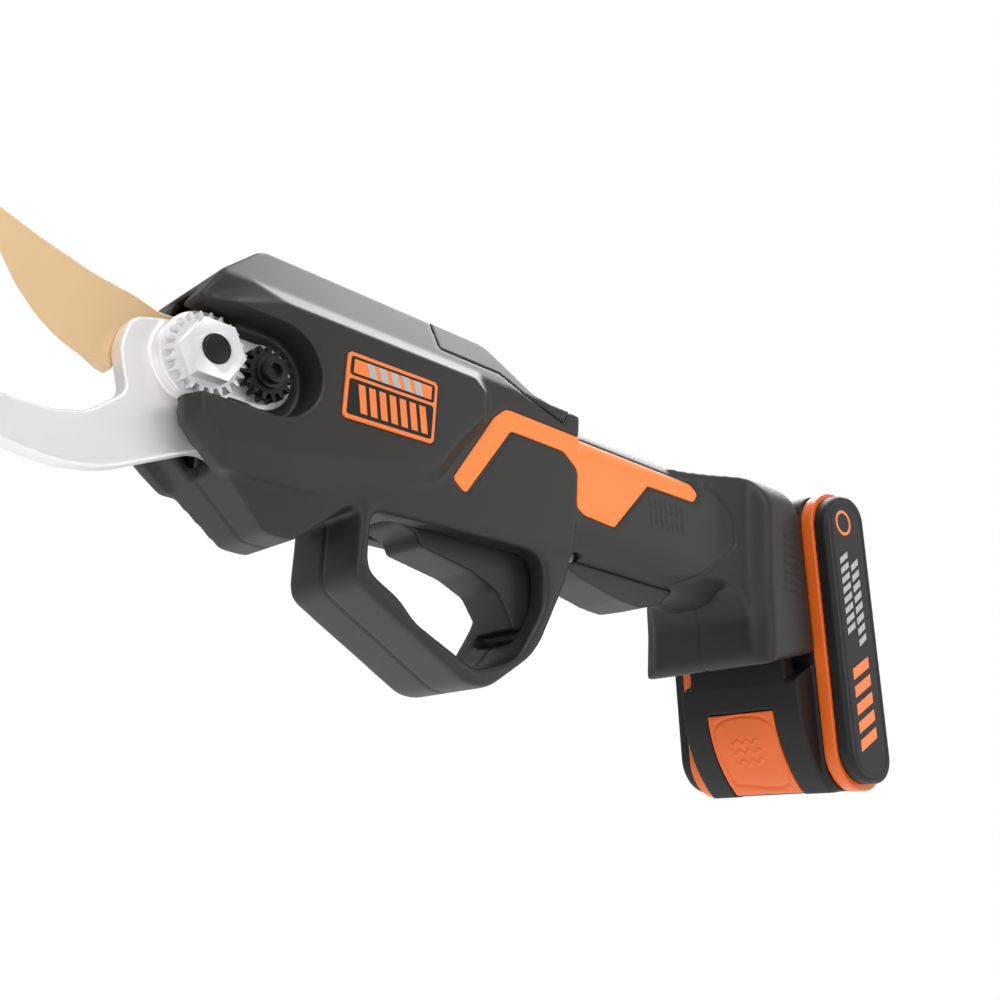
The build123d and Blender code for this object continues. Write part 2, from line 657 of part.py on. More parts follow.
def coil_spring(x, z_low, z_high, turns):
    """An upright compression spring."""
    with BuildPart() as spring:
        with BuildLine():
            coil = Helix((z_high - z_low) / turns, z_high - z_low, SPRING_R, center=(x, 0, z_low))
        with BuildSketch(Plane(origin=coil @ 0, z_dir=coil % 0)):
            Circle(SPRING_WIRE)
        sweep(is_frenet=True)
    return spring.part


with BuildPart() as trigger:
    add(plate(TRIGGER_SIDE, TRIGGER_SIDE_RADII, -TRIGGER_HALF, TRIGGER_HALF))
    add(disc(*TRIGGER_PIN, PIN_R + PIN_GAP, -20, 20), mode=Mode.SUBTRACT)
    with BuildSketch(Plane.XY.offset(63.5)):
        with Locations((136, 0)):
            Circle(SPRING_R + 1.1)
    extrude(amount=20, mode=Mode.SUBTRACT)
keep("trigger", trigger.part)
keep("trigger_pin", disc(*TRIGGER_PIN, PIN_R, -12, 12))
keep("trigger_spring", coil_spring(136, 64.2, 78.2, 6))
with BuildPart() as trigger_switch:
    add(block((158, -6, 79.2), (176, 6, 83.9)))
    add(block((158, -14.8, 82.7), (176, 14.8, 83.9)))
keep("trigger_switch", trigger_switch.part)
with BuildPart() as safety_lever:
    add(plate(LEVER_SIDE, LEVER_SIDE_RADII, -LEVER_HALF, LEVER_HALF))
    add(disc(*LEVER_PIN, PIN_R + PIN_GAP, -20, 20), mode=Mode.SUBTRACT)
    with BuildSketch(Plane.XY.offset(67.2)):
        with Locations((75, 0)):
            Circle(SPRING_R + 1.1)
    extrude(amount=20, mode=Mode.SUBTRACT)
keep("safety_lever", safety_lever.part)
keep("lever_pin", disc(*LEVER_PIN, PIN_R, -12, 12))
keep("lever_spring", coil_spring(75, 67.8, 79.2, 5))

# Foot: control board and terminals

with BuildPart() as control_board:
    add(plate([(12.2, 68), (13.8, 68), (13.8, 101), (12.2, 101)], 0.1, -18, 18, BATTERY_SIDE))
    for z in (70, 78, 86):
        for y in (-12, -4, 4):
            add(plate([(13.8, z), (16, z), (16, z + 6), (13.8, z + 6)], 0.1, y, y + 5, BATTERY_SIDE))
    add(plate([(13.8, 93), (20, 93), (20, 100), (13.8, 100)], 0.1, -14, 10, BATTERY_SIDE))
keep("control_board", control_board.part)
with BuildPart() as terminal_block:
    add(plate([(1.8, 105.2), (8.1, 105.2), (8.1, 110.8), (1.8, 110.8)], 0.1, -16, 16, BATTERY_SIDE))
    for y in (-12, -4, 4, 12):
        blade = [(3.6, 90), (7.4, 90), (7.4, 105.5), (3.6, 105.5)]
        add(plate(blade, 0.2, y - 0.4, y + 0.4, BATTERY_SIDE))
keep("terminal_block", terminal_block.part)

# Battery pack

CASE_SIDE = [(-27.5, 12.4), (-2.2, 12.4), (-2.2, 118), (-27.5, 118)]
CASE_RADII = [8, 8, 10, 9]
RING_SIDE = [(-28.2, 12.2), (-1.6, 12.2), (-1.6, 118.4), (-28.2, 118.4)]
RING_RADII = [10, 14, 14, 10]
SIDE_PANEL = [(-27, 14.4), (-2.4, 14.4), (-2.4, 116.6), (-27, 116.6)]
SIDE_PANEL_RADII = [9, 13, 13, 9]
NOSE_ARC = ((-5.7, 12.1), (3.8, 25.4), (7.9, 41.4))
BUTTON_HALF = 14.7
BUTTON_THICK = 3.2
BUTTON_SLOT = 6.2
CELL_X = -14.8
CELL_PITCH = 19.4
CELL_LOW_Z = 26.4


def nose_band(behind, low_z, half):
    """The region between the pack's curved nose and the same curve further in."""
    with BuildPart() as band:
        with BuildSketch(BATTERY_SIDE):
            with BuildLine():
                front = ThreePointArc(*NOSE_ARC)
                back = ThreePointArc(*[(x - behind, z) for x, z in NOSE_ARC])
                Line(front @ 0, back @ 0)
                Line(front @ 1, back @ 1)
            make_face()
            with Locations((0, low_z - 50)):
                Rectangle(100, 100, mode=Mode.SUBTRACT)
        extrude(amount=half, both=True)
    return band.part


with BuildPart() as battery_case:
    add(plate(CASE_SIDE, CASE_RADII, -BATTERY_HALF, BATTERY_HALF, BATTERY_SIDE))
    with BuildSketch(BATTERY_SIDE):
        with BuildLine():
            nose = ThreePointArc(*NOSE_ARC)
            Polyline(nose @ 1, (8.2, 51.0), (-3, 56.5), (-10, 56.5), (-10, 12.1), nose @ 0)
        make_face()
    extrude(amount=26, both=True)
    add(plate([(-6, 50), (1.9, 50), (1.9, 104.4), (-6, 104.4)], 0.2, -16.7, 16.7, BATTERY_SIDE))
    add(plate([(1.8, 50), (8.1, 50), (8.1, 104.4), (1.8, 104.4)], 0.4, -21.2, 21.2, BATTERY_SIDE))
    add(nose_band(BUTTON_SLOT, 11, BUTTON_HALF + 0.2), mode=Mode.SUBTRACT)
    for y in (-12, -4, 4, 12):
        slot = [(3.2, 88), (12, 88), (12, 120), (3.2, 120)]
        add(plate(slot, 0.2, y - 0.9, y + 0.9, BATTERY_SIDE), mode=Mode.SUBTRACT)
    for cell in range(CELLS):
        z = CELL_LOW_Z + cell * CELL_PITCH
        bore = disc(CELL_X, z, CELL_R + 0.1, -40, 40, plane=BATTERY_SIDE)
        add(bore, mode=Mode.SUBTRACT)
keep("battery_case", battery_case.part)
with BuildPart() as cells:
    for cell in range(CELLS):
        z = CELL_LOW_Z + cell * CELL_PITCH
        add(disc(CELL_X, z, CELL_R, -32.4, 32.4, plane=BATTERY_SIDE))
keep("battery_cells", cells.part)
cell_room = plate([(-24.5, 17), (-5, 17), (-5, 113.8), (-24.5, 113.8)], 8, -32.8, 32.8, BATTERY_SIDE)
for name, sign in (("left", 1), ("right", -1)):
    low, high = sorted((sign * BATTERY_HALF, sign * RING_HIGH))
    with BuildPart() as ring:
        add(plate(RING_SIDE, RING_RADII, low, high, BATTERY_SIDE))
        add(cell_room, mode=Mode.SUBTRACT)
    keep(name + "_battery_ring", ring.part)
    low, high = sorted((sign * RING_HIGH, sign * PACK_HALF))
    with BuildPart() as panel:
        add(plate(SIDE_PANEL, SIDE_PANEL_RADII, low, high, BATTERY_SIDE))
        chamfer(panel.faces().sort_by(Axis.Y)[-1 if sign > 0 else 0].edges(), 1.2)
        add(cell_room, mode=Mode.SUBTRACT)
    keep(name + "_battery_panel", panel.part)
keep("release_button", nose_band(BUTTON_THICK, 12.6, BUTTON_HALF))

os.makedirs("parts", exist_ok=True)
for name, part in pieces.items():
    export_step(part, f"parts/{name}.step")
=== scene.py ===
import json
from math import cos, pi, radians, sin

import bmesh
import bpy
import numpy as np
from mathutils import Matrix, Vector

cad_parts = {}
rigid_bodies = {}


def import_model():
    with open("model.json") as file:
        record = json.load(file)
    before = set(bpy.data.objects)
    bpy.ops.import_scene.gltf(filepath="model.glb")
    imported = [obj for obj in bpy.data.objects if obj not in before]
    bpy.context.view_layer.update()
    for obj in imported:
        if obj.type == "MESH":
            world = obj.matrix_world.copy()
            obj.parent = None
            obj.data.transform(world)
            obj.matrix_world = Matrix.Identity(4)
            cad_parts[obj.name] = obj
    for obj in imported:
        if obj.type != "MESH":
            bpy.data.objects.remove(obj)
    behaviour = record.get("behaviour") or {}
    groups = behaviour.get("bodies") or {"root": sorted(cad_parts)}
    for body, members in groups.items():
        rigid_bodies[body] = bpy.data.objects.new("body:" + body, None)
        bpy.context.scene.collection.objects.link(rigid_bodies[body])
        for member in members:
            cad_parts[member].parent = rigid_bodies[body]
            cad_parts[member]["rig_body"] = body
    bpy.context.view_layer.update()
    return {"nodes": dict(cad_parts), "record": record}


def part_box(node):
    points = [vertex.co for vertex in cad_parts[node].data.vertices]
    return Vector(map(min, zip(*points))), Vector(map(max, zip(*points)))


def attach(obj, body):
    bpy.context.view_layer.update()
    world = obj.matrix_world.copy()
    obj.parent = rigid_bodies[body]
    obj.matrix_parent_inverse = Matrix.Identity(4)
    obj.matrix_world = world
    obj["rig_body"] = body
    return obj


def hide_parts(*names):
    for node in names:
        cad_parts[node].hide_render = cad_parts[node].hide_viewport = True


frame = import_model()

# Places are given in millimetres in the CAD's own drawing, whose pivot is at DRAWN_PIVOT.
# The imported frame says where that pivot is, and everything else follows from it.
MM = 0.001
DRAWN_PIVOT = Vector((244.3, 0.0, 95.3))
LEAN = radians(7.7)
BADGE_CORNERS = [(176.5, 89), (207.5, 87.8), (207.5, 107), (176.5, 107.6)]

low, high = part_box("pivot_bush")
pivot = (low + high) / 2


def spot(x, y, z):
    """A place in the drawing, in the row frame."""
    return pivot + (Vector((x, y, z)) - DRAWN_PIVOT) * MM


def leaning(x, y, z):
    """A place in the battery's own leaning axes, in the row frame."""
    return spot(x * cos(LEAN) + z * sin(LEAN), y, -x * sin(LEAN) + z * cos(LEAN))


# ---------------------------------------------------------------- materials


def add_node(tree, kind, **values):
    node = tree.nodes.new(kind)
    for name, value in values.items():
        if name in node.inputs:
            node.inputs[name].default_value = value
        else:
            setattr(node, name, value)
    return node


def noise(tree, scale, detail=2.0, stretch=None):
    """A noise in the piece's own metres, optionally drawn out along one direction."""
    place = add_node(tree, "ShaderNodeTexCoord")
    texture = add_node(tree, "ShaderNodeTexNoise", Scale=scale, Detail=detail)
    if stretch:
        mapping = add_node(tree, "ShaderNodeMapping", Scale=stretch)
        tree.links.new(place.outputs["Object"], mapping.inputs["Vector"])
        tree.links.new(mapping.outputs["Vector"], texture.inputs["Vector"])
    else:
        tree.links.new(place.outputs["Object"], texture.inputs["Vector"])
    return texture.outputs["Fac"]


def material(name, colour, rough, metal=0.0, coat=0.0, mottle=0.06, patch=35.0,
             grain=1800.0, depth=0.00002, stretch=None, rough_spread=0.06, shine=0.5):
    """A surface with a little colour and gloss variation and a fine relief."""
    made = bpy.data.materials.new(name)
    made.use_nodes = True
    tree = made.node_tree
    shader = tree.nodes["Principled BSDF"]
    shader.inputs["Metallic"].default_value = metal
    shader.inputs["Specular IOR Level"].default_value = shine
    shader.inputs["Coat Weight"].default_value = coat
    shader.inputs["Coat Roughness"].default_value = 0.2
    shade = add_node(tree, "ShaderNodeMix", data_type="RGBA")
    dark, light = [tuple(c * k for c in colour) + (1.0,) for k in (1 - mottle, 1 + mottle)]
    shade.inputs[6].default_value = dark
    shade.inputs[7].default_value = light
    tree.links.new(noise(tree, patch, 4.0), shade.inputs["Factor"])
    tree.links.new(shade.outputs[2], shader.inputs["Base Color"])
    spread = add_node(tree, "ShaderNodeMapRange")
    spread.inputs["To Min"].default_value = rough - rough_spread
    spread.inputs["To Max"].default_value = rough + rough_spread
    fine = noise(tree, grain, 3.0, stretch)
    tree.links.new(fine, spread.inputs["Value"])
    tree.links.new(spread.outputs["Result"], shader.inputs["Roughness"])
    relief = add_node(tree, "ShaderNodeBump", Strength=0.5, Distance=depth)
    tree.links.new(fine, relief.inputs["Height"])
    tree.links.new(relief.outputs["Normal"], shader.inputs["Normal"])
    return made


looks = {
    "housing": material("housing_plastic", (0.0195, 0.0182, 0.0173), 0.46, grain=2600.0,
                        depth=0.00004, shine=0.42),
    "housing_dark": material("pack_plastic", (0.0075, 0.0075, 0.0078), 0.50, grain=2600.0,
                             depth=0.00004, shine=0.34),
    "orange": material("orange_satin", (0.92, 0.235, 0.040), 0.42, grain=2400.0),
    "deep_orange": material("orange_moulded", (0.78, 0.135, 0.012), 0.36, grain=2400.0),
    "badge": material("label_orange", (0.86, 0.205, 0.040), 0.38, grain=2400.0),
    "gold_blade": material("coated_steel", (0.72, 0.50, 0.275), 0.40, metal=0.25, grain=1400.0),
    "steel": material("satin_steel", (0.86, 0.84, 0.85), 0.34, metal=0.55, grain=900.0,
                      stretch=(0.15, 1, 1)),
    "zinc": material("zinc_plate", (0.80, 0.80, 0.81), 0.30, metal=0.45, mottle=0.02, grain=900.0,
                     depth=0.000004, rough_spread=0.02),
    "black_steel": material("black_oxide", (0.014, 0.014, 0.015), 0.34, metal=0.5, grain=1500.0),
    "aluminium": material("cast_aluminium", (0.66, 0.66, 0.67), 0.38, metal=0.9, grain=700.0),
    "copper": material("windings", (0.60, 0.26, 0.12), 0.35, metal=0.9, grain=1600.0, stretch=(0.1, 1, 1)),
    "board": material("solder_mask", (0.015, 0.13, 0.05), 0.30, coat=0.4, grain=900.0),
    "brass": material("turned_brass", (0.78, 0.56, 0.25), 0.28, metal=1.0, grain=1200.0),
    "lens": material("status_green", (0.06, 0.42, 0.16), 0.15, coat=0.6, grain=400.0),
    "cell": material("cell_sleeve", (0.03, 0.14, 0.36), 0.28, coat=0.5, grain=900.0),
}
print_grey = material("label_grey", (0.42, 0.42, 0.43), 0.40, grain=2400.0)
print_dark = material("label_dark", (0.0075, 0.0075, 0.0078), 0.50, grain=2400.0, shine=0.34)

slot_of = {part["node"]: part["material_slot"] for part in frame["record"]["subparts"]}
for node, thing in frame["nodes"].items():
    thing.data.materials.clear()
    thing.data.materials.append(looks[slot_of[node]])


# ---------------------------------------------------------------- mesh tools


def link(name, mesh, look):
    thing = bpy.data.objects.new(name, mesh)
    bpy.context.scene.collection.objects.link(thing)
    mesh.materials.clear()
    mesh.materials.append(look)
    return thing


def welded(node):
    """A closed copy of a CAD node's mesh."""
    mesh = frame["nodes"][node].data.copy()
    form = bmesh.new()
    form.from_mesh(mesh)
    bmesh.ops.remove_doubles(form, verts=form.verts, dist=1e-6)
    form.to_mesh(mesh)
    form.free()
    return mesh


def bake(thing):
    """Turns the modifiers of a piece into its mesh."""
    bpy.context.view_layer.update()
    seen = thing.evaluated_get(bpy.context.evaluated_depsgraph_get())
    mesh = bpy.data.meshes.new_from_object(seen)
    thing.modifiers.clear()
    thing.data = mesh
    return thing


def settle(thing, node):
    """The piece takes over from a CAD node."""
    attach(thing, frame["nodes"][node]["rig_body"])
    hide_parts(node)
    return thing


def softened(node, voxel, rounds, mesh=None):
    """A CAD node with its edges rounded, as moulded or ground pieces have them."""
    thing = link("soft_" + node, mesh or welded(node), looks[slot_of[node]])
    remesh = thing.modifiers.new("remesh", "REMESH")
    remesh.mode = "VOXEL"
    remesh.voxel_size = voxel * MM
    remesh.use_smooth_shade = True
    ease = thing.modifiers.new("ease", "SMOOTH")
    ease.factor = 0.5
    ease.iterations = rounds
    return settle(bake(thing), node)


def bevelled(node, width, angle=32):
    """A CAD node with narrow bright bevels on its edges."""
    mesh = welded(node)
    form = bmesh.new()
    form.from_mesh(mesh)
    bmesh.ops.dissolve_limit(form, angle_limit=radians(1), verts=form.verts, edges=form.edges)
    form.to_mesh(mesh)
    form.free()
    thing = link("cut_" + node, mesh, looks[slot_of[node]])
    bevel = thing.modifiers.new("bevel", "BEVEL")
    bevel.width = width * MM
    bevel.segments = 2
    bevel.limit_method = "ANGLE"
    bevel.angle_limit = radians(angle)
    bevel.harden_normals = True
    thing.data.shade_smooth()
    return settle(bake(thing), node)


def read(mesh):
    """The points of a mesh in the drawing's millimetres, and its normals."""
    count = len(mesh.vertices)
    places = np.empty(count * 3)
    normals = np.empty(count * 3)
    mesh.vertices.foreach_get("co", places)
    mesh.vertices.foreach_get("normal", normals)
    places = (places.reshape(-1, 3) - np.array(pivot)) / MM + np.array(DRAWN_PIVOT)
    return places, normals.reshape(-1, 3)


def write(mesh, places):
    places = (places - np.array(DRAWN_PIVOT)) * MM + np.array(pivot)
    mesh.vertices.foreach_set("co", places.ravel())
    mesh.update()


def distance_to(points, path):
    """How far each point of a plane is from a path of straight runs."""
    best = np.full(len(points), 1e9)
    for start, end in zip(path[:-1], path[1:]):
        start, end = np.array(start, float), np.array(end, float)
        run = end - start
        along = np.clip((points - start) @ run / max(run @ run, 1e-12), 0, 1)
        best = np.minimum(best, np.linalg.norm(points - start - along[:, None] * run, axis=1))
    return best


def curve_through(points, steps=8):
    """A smooth path through some points."""
    points = [np.array(p, float) for p in points]
    ends = [2 * points[0] - points[1]] + points + [2 * points[-1] - points[-2]]
    path = []
    for a, b, c, d in zip(ends, ends[1:], ends[2:], ends[3:]):
        for step in range(steps):
            t = step / steps
            path.append(0.5 * (2 * b + (c - a) * t + (2 * a - 5 * b + 4 * c - d) * t**2
                               + (3 * b - a - 3 * c + d) * t**3))
    return path + [points[-1]]


def groove(thing, path, half, deep, sides=(1, -1), flat=(0, 2), facing=0.3):
    """Presses a groove into a piece along a path in a flat view, or raises a rib where deep is negative."""
    places, normals = read(thing.data)
    gap = distance_to(places[:, flat], path)
    fall = np.clip(1 - gap / half, 0, 1)
    fall = fall * fall * (3 - 2 * fall)
    across = 3 - flat[0] - flat[1]
    for sign in sides:
        chosen = normals[:, across] * sign > facing
        places[chosen] -= (normals * (deep * fall)[:, None])[chosen]
    write(thing.data, places)


def eased(thing, weigh, rounds):
    """Smooths a piece further where the weight found for its points is near 1."""
    places, _ = read(thing.data)
    levels = np.round(weigh(places) * 8)
    group = thing.vertex_groups.new(name="ease")
    for level in range(1, 9):
        group.add(np.nonzero(levels == level)[0].tolist(), level / 8, "REPLACE")
    ease = thing.modifiers.new("ease", "SMOOTH")
    ease.factor = 0.5
    ease.iterations = rounds
    ease.vertex_group = "ease"
    bake(thing)
    thing.vertex_groups.clear()


def ramp(values, none, full):
    """0 at one value, 1 at the other, and smooth between."""
    rise = np.clip((values - none) / (full - none), 0, 1)
    return rise * rise * (3 - 2 * rise)


def slab(name, shapes, place, face, thick, look, body):
    """Flat printed or raised shapes: outlines in a plane, set on a face at a height across the tool."""
    form = bmesh.new()
    sign = 1 if face > 0 else -1
    for points in shapes:
        rows = []
        for height in (face - sign * 0.3, face + sign * thick):
            rows.append([form.verts.new(place(x, height, z)) for x, z in points])
        form.faces.new(rows[0])
        form.faces.new(rows[1][::-1])
        for i in range(len(points)):
            j = (i + 1) % len(points)
            form.faces.new((rows[0][i], rows[1][i], rows[1][j], rows[0][j]))
    bmesh.ops.recalc_face_normals(form, faces=form.faces)
    mesh = bpy.data.meshes.new(name)
    form.to_mesh(mesh)
    form.free()
    thing = link(name, mesh, look)
    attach(thing, body)
    return thing


def rounded(corners, radius, steps=6):
    """A convex outline with its corners rounded."""
    outline = []
    count = len(corners)
    for i, corner in enumerate(corners):
        corner = np.array(corner, float)
        ends = []
        for other in (corners[i - 1], corners[(i + 1) % count]):
            run = np.array(other, float) - corner
            ends.append(corner + run / np.linalg.norm(run) * radius)
        for step in range(steps + 1):
            t = step / steps
            outline.append(tuple((1 - t) ** 2 * ends[0] + 2 * t * (1 - t) * corner + t * t * ends[1]))
    return outline


def within(corners, u, v):
    """A place in a four-sided field, from 0 to 1 along and up."""
    low_left, low_right, top_right, top_left = [np.array(c, float) for c in corners]
    return tuple((low_left * (1 - u) + low_right * u) * (1 - v) + (top_left * (1 - u) + top_right * u) * v)


def bars(corners, first, last, low, high, count, share, tilt):
    """Slanting bars side by side in a four-sided field."""
    shapes = []
    pitch = (last - first) / count
    for i in range(count):
        start = first + i * pitch
        end = start + pitch * share
        shape = [(start, low), (end, low), (end + tilt, high), (start + tilt, high)]
        shapes.append([within(corners, u, v) for u, v in shape])
    return shapes


# ---------------------------------------------------------------- camera, light and floor

CAMERA_PLACE = (0.23388, 0.28997, -0.05285)
CAMERA_TURN = (108.721, -3.050, 138.287)
FLOOR_Z = -0.16
FLOOR_HALF = 1.1

camera = bpy.data.objects.new("camera", bpy.data.cameras.new("camera"))
bpy.context.scene.collection.objects.link(camera)
camera.location = CAMERA_PLACE
camera.rotation_euler = [radians(turn) for turn in CAMERA_TURN]
camera.data.lens = 46.31
camera.data.sensor_width = 36.0
camera.data.clip_start = 0.01
bpy.context.scene.camera = camera


def area_light(name, place, size, power):
    """A soft square lamp that looks at the middle of the tool."""
    lamp = bpy.data.lights.new(name, "AREA")
    lamp.shape = "SQUARE"
    lamp.size = size
    lamp.energy = power
    thing = bpy.data.objects.new(name, lamp)
    thing.location = place
    towards = Vector((0.0, 0.0, 0.07)) - Vector(place)
    thing.rotation_euler = towards.to_track_quat("-Z", "Y").to_euler()
    bpy.context.scene.collection.objects.link(thing)


area_light("key", (0.35, 0.75, 0.75), 0.6, 4.2)
area_light("fill", (-0.7, 0.6, 0.2), 0.7, 1.6)
area_light("rim", (-0.5, -0.25, 0.85), 0.6, 9.0)
area_light("low_front", (0.7, 0.5, -0.1), 0.5, 1.5)

SKY_LOW = 0.30
SKY_HIGH = 0.62
world = bpy.data.worlds.new("studio")
world.use_nodes = True
sky = world.node_tree
lit = sky.nodes["Background"]
lit.inputs["Color"].default_value = (1, 1, 1, 1)
direction = add_node(sky, "ShaderNodeTexCoord")
parts = add_node(sky, "ShaderNodeSeparateXYZ")
height = add_node(sky, "ShaderNodeMapRange")
height.inputs["From Min"].default_value = -1.0
height.inputs["From Max"].default_value = 1.0
height.inputs["To Min"].default_value = SKY_LOW
height.inputs["To Max"].default_value = SKY_HIGH
seen_white = add_node(sky, "ShaderNodeBackground", Color=(1, 1, 1, 1), Strength=1.0)
rays = add_node(sky, "ShaderNodeLightPath")
either = add_node(sky, "ShaderNodeMixShader")
sky.links.new(direction.outputs["Generated"], parts.inputs["Vector"])
sky.links.new(parts.outputs["Z"], height.inputs["Value"])
sky.links.new(height.outputs["Result"], lit.inputs["Strength"])
sky.links.new(rays.outputs["Is Camera Ray"], either.inputs["Fac"])
sky.links.new(lit.outputs["Background"], either.inputs[1])
sky.links.new(seen_white.outputs["Background"], either.inputs[2])
sky.links.new(either.outputs["Shader"], sky.nodes["World Output"].inputs["Surface"])
bpy.context.scene.world = world
bpy.context.scene.view_settings.view_transform = "Standard"

floor_form = bmesh.new()
bmesh.ops.create_grid(floor_form, x_segments=4, y_segments=4, size=FLOOR_HALF)
floor_mesh = bpy.data.meshes.new("floor")
floor_form.to_mesh(floor_mesh)
floor_form.free()
pale = material("pale_floor", (0.88, 0.88, 0.88), 0.8, grain=60.0, mottle=0.01)
floor = link("floor", floor_mesh, pale)
floor.location.z = FLOOR_Z


# ---------------------------------------------------------------- housing

HANDLE_END = [
    (54.2, 111.2), (47.8, 108.1), (42.3, 102.1), (41.2, 95.1), (42.3, 91.1), (54.1, 79.5), (66.8, 72.2),
]
SEAM_OVERLAP = 0.3
FOOT_DRAWN_BACK = 2.6
GUARD_BACK = [
    (116.2, 74), (116.2, 71.2), (116.7, 66), (118.3, 61.4), (125.4, 45.7),
    (127.0, 46.6), (119.9, 62.2), (118.4, 66.4), (117.9, 71.2), (117.9, 74),
]
BACK_HALF = 10.5
PIN_SHARE = 0.72
SEAM_HALF = 0.5
SEAM_TOP = 80.0
SEAM_DEEP = 0.35


def foot_weight(places):
    """The foot and the end of the handle."""
    return 1 - ramp(places[:, 0], 58, 72)


def guard_weight(places):
    """The finger guard, below the trigger's bay."""
    near = ramp(places[:, 0], 104, 114) * (1 - ramp(places[:, 0], 196, 206))
    return near * (1 - ramp(places[:, 2], 64, 78))


def joined_shells():
    """Both halves of the housing as one closed mesh, so that the seam stays shut when it is smoothed."""
    left = welded("left_shell")
    places, _ = read(left)
    seam = places[:, 1].min()
    places[places[:, 1] < seam + 0.01, 1] = seam - SEAM_OVERLAP
    write(left, places)
    form = bmesh.new()
    form.from_mesh(left)
    form.from_mesh(welded("right_shell"))
    count = len(GUARD_BACK)
    rows = [[form.verts.new(spot(x, y, z)) for x, z in GUARD_BACK] for y in (-BACK_HALF, BACK_HALF)]
    form.faces.new(rows[0])
    form.faces.new(rows[1][::-1])
    for i in range(count):
        j = (i + 1) % count
        form.faces.new((rows[0][i], rows[1][i], rows[1][j], rows[0][j]))
    bmesh.ops.recalc_face_normals(form, faces=form.faces)
    form.to_mesh(left)
    form.free()
    return left


def make_lever_pin():
    """The lever's pin, short enough to stay inside the narrow handle."""
    pin = bevelled("lever_pin", 0.1)
    places, _ = read(pin.data)
    places[:, 1] *= PIN_SHARE
    write(pin.data, places)


def draw_foot_back(shell):
    """Takes the front of the foot back."""
    places, _ = read(shell.data)
    front = ramp(places[:, 0], 26, 40) * (1 - ramp(places[:, 0], 48, 60)) * (1 - ramp(places[:, 2], 66, 80))
    places[:, 0] -= FOOT_DRAWN_BACK * front
    write(shell.data, places)


def press_seam(shell):
    """A fine line under the tool where the two halves meet."""
    places, normals = read(shell.data)
    seam = (np.abs(places[:, 1]) < SEAM_HALF) & (places[:, 2] < SEAM_TOP)
    places[seam] -= normals[seam] * SEAM_DEEP
    write(shell.data, places)


def press_ribs(shell, side):
    """The groove round the handle's end and the moulded ribs behind it."""
    groove(shell, curve_through(HANDLE_END), 1.0, 0.6, sides=(side,))
    for row in range(2):
        for column in range(7):
            x = 83.5 - column * 2.6 - row * 0.8
            z = 99.5 - row * 5.2
            groove(shell, [(x, z), (x - 0.9, z - 3.6)], 0.9, 0.4, sides=(side,))
    for bar in range(7):
        z = 98.5 - bar * 3.2
        groove(shell, [(15.5, z + 0.6), (23.5, z)], 1.0, 0.45, sides=(side,))


def make_housing():
    shell = softened("left_shell", 0.7, 6, joined_shells())
    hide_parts("right_shell")
    softened("top_cover", 0.5, 6)
    eased(shell, foot_weight, 45)
    eased(shell, guard_weight, 45)
    draw_foot_back(shell)
    press_seam(shell)
    make_lever_pin()
    for side in (1, -1):
        press_ribs(shell, side)


def make_trims():
    for side in ("left", "right"):
        softened(side + "_trim", 0.3, 4)


make_housing()
make_trims()


# ---------------------------------------------------------------- badges

BADGE_FACE = 22.5
FIELD_ROUND = 1.0
FIELD_RISE = 0.05
GROUND_RISE = 0.10
PRINT_RISE = 0.16
FIELDS = {"field": (0.06, 0.60), "strip": (0.65, 0.94)}


def badge_field(low, high):
    """A rounded dark field that leaves the badge's border standing around it."""
    reach = ((0.035, low), (0.965, low), (0.965, high), (0.035, high))
    return rounded([within(BADGE_CORNERS, u, v) for u, v in reach], FIELD_ROUND)


def make_badges():
    orange = looks["badge"]
    strip = bars(BADGE_CORNERS, 0.07, 0.93, 0.69, 0.90, 1, 1.0, 0.0)
    grey = bars(BADGE_CORNERS, 0.16, 0.80, 0.69, 0.90, 5, 0.62, 0.05)
    slants = bars(BADGE_CORNERS, 0.08, 0.86, 0.12, 0.54, 7, 0.64, 0.05)
    for side, sign in (("left", 1), ("right", -1)):
        softened(side + "_badge", 0.2, 3)
        name = side + "_badge_"
        face = sign * BADGE_FACE
        for field, (low, high) in FIELDS.items():
            shapes = [badge_field(low, high)]
            slab(name + field, shapes, spot, face, FIELD_RISE, print_dark, "housing")
        slab(name + "ground", strip, spot, face, GROUND_RISE, orange, "housing")
        slab(name + "grey", grey, spot, face, PRINT_RISE, print_grey, "housing")
        slab(name + "slants", slants, spot, face, PRINT_RISE, orange, "housing")


make_badges()

# ---------------------------------------------------------------- controls and cutting head

BLADE_EDGE = [
    (307, 123), (302.4, 117), (295.1, 108.6), (290.2, 101.8), (284, 95.8), (278.4, 92), (272.8, 89.7),
]
GROUND_BACK = 7.0


def make_blades():
    softened("hook_blade", 0.4, 16)
    blade = softened("moving_blade", 0.3, 2)
    places, _ = read(blade.data)
    outer = places[:, 0] > 266
    top = places[outer, 1].max()
    near = np.clip(distance_to(places[:, (0, 2)], curve_through(BLADE_EDGE)) / GROUND_BACK, 0.07, 1)
    near = np.where(outer, near, 1)
    places[:, 1] = top - (top - places[:, 1]) * near
    write(blade.data, places)


CUT_WIDTHS = {
    "adjuster_nut": 0.06, "lock_pinion": 0.06, "lock_plate": 0.25, "pinion_screw": 0.2, "pivot_bolt": 0.2,
    "housing_screws": 0.15, "hook_screws": 0.2, "power_button": 0.3, "status_lens": 0.2,
}

softened("trigger", 0.4, 14)
softened("safety_lever", 0.4, 12)
make_blades()
for node, width in CUT_WIDTHS.items():
    bevelled(node, width)

# ---------------------------------------------------------------- battery

PACK_FACE = 38.0
PANEL_DRAWN_IN = 0.14
BUTTON_SHARE = 0.985
LABEL = [(-24.2, 17.5), (-5.2, 17.5), (-5.2, 113.5), (-24.2, 113.5)]
RING_PLACE = (-13.2, 106.2)
BUTTON_RIM = [(-11.6, 16.6), (-11.6, 36.4), (11.6, 36.4), (11.6, 16.6), (-11.6, 16.6)]


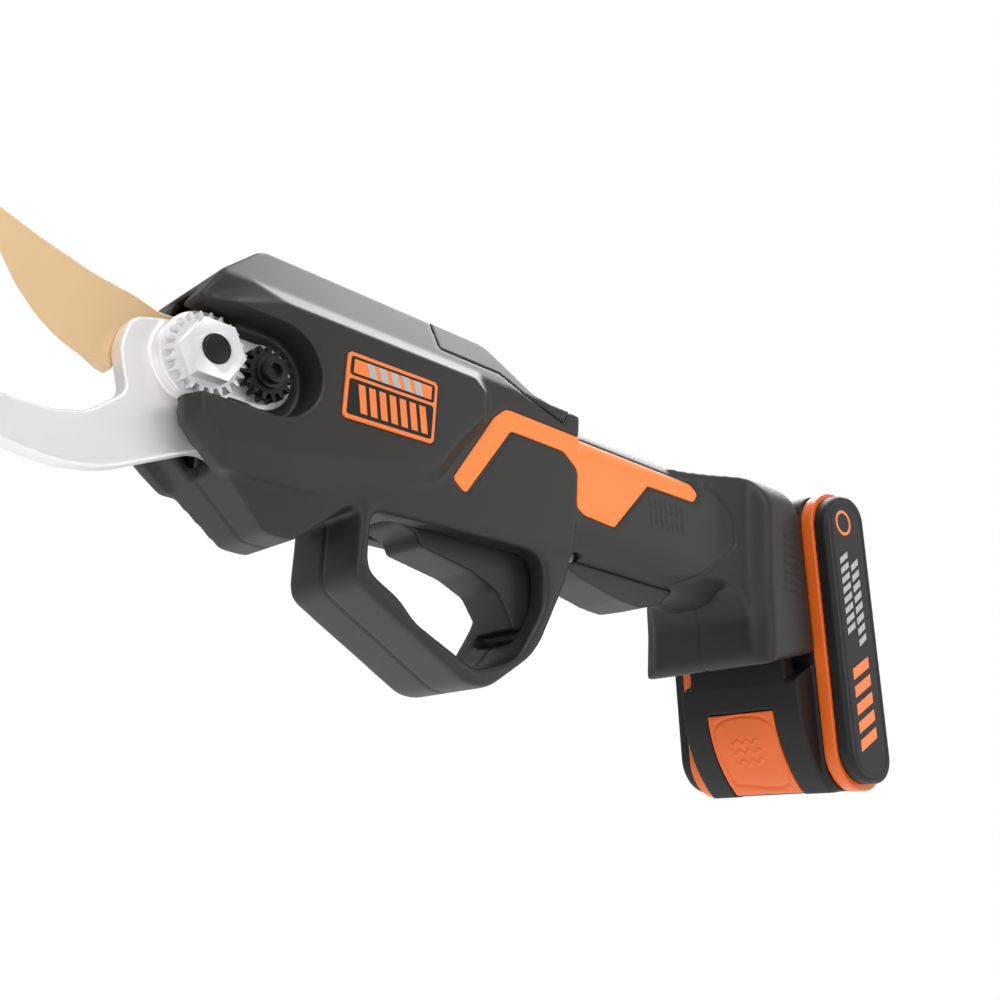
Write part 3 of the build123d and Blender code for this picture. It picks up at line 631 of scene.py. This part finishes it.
def round_at(middle, radius, steps=40):
    """A circle in a plane."""
    return [(middle[0] + radius * cos(2 * pi * i / steps), middle[1] + radius * sin(2 * pi * i / steps))
            for i in range(steps)]


def leant(points):
    """Points of the battery's leaning side view in the drawing's side view."""
    return [(x * cos(LEAN) + z * sin(LEAN), -x * sin(LEAN) + z * cos(LEAN)) for x, z in points]


RING_OUTER = 4.6
RING_INNER = 3.5
RING_SINK = 0.06
PRINT_SINK = 0.03
BAR_SINK = 0.01
BUTTON_WAVES = (23.6, 26.8, 30.0)
RIM_ROUND = 9.0


def print_panel(side, sign):
    """The ring and the bars printed on one side of the pack."""
    name = side + "_mark_"
    face = sign * PACK_FACE
    orange = looks["badge"]
    upright = [LABEL[1], LABEL[2], LABEL[3], LABEL[0]]
    grey = bars(upright, 0.50, 0.80, 0.18, 0.44, 8, 0.6, 0.03)
    grey += bars(upright, 0.46, 0.78, 0.52, 0.76, 8, 0.6, 0.03)
    slants = bars(upright, 0.08, 0.40, 0.20, 0.74, 5, 0.62, 0.05)
    ring = [round_at(RING_PLACE, RING_OUTER)]
    middle = [round_at(RING_PLACE, RING_INNER)]
    slab(name + "ring", ring, leaning, face, -RING_SINK, orange, "battery")
    slab(name + "middle", middle, leaning, face, -PRINT_SINK, print_dark, "battery")
    slab(name + "grey", grey, leaning, face, -BAR_SINK, print_grey, "battery")
    slab(name + "orange", slants, leaning, face, -BAR_SINK, orange, "battery")


def make_release_button():
    """The latch button, a little inside its slot, with a pressed rim and three raised waves."""
    button = softened("release_button", 0.3, 6)
    places, _ = read(button.data)
    places[:, 1] *= BUTTON_SHARE
    height = places[:, 2].mean()
    places[:, 2] = height + (places[:, 2] - height) * BUTTON_SHARE
    write(button.data, places)
    groove(button, curve_through(BUTTON_RIM, 6), 0.9, 0.5, sides=(-1, 1), flat=(1, 2), facing=0.5)
    for z in BUTTON_WAVES:
        wave = [(y / 2, z + 0.7 * sin(y * 0.75)) for y in range(-12, 13)]
        groove(button, wave, 0.8, -0.35, sides=(-1, 1), flat=(1, 2), facing=0.5)


def make_pack():
    softened("battery_case", 0.6, 6)
    limit = PACK_FACE - PANEL_DRAWN_IN
    rim = leant(rounded(LABEL, RIM_ROUND))
    for side, sign in (("left", 1), ("right", -1)):
        softened(side + "_battery_ring", 0.4, 5)
        panel = softened(side + "_battery_panel", 0.5, 8)
        places, _ = read(panel.data)
        places[:, 1] = np.clip(places[:, 1], -limit, limit)
        write(panel.data, places)
        groove(panel, rim + rim[:1], 0.9, 0.35, sides=(sign,), facing=0.6)
        print_panel(side, sign)
    make_release_button()


make_pack()
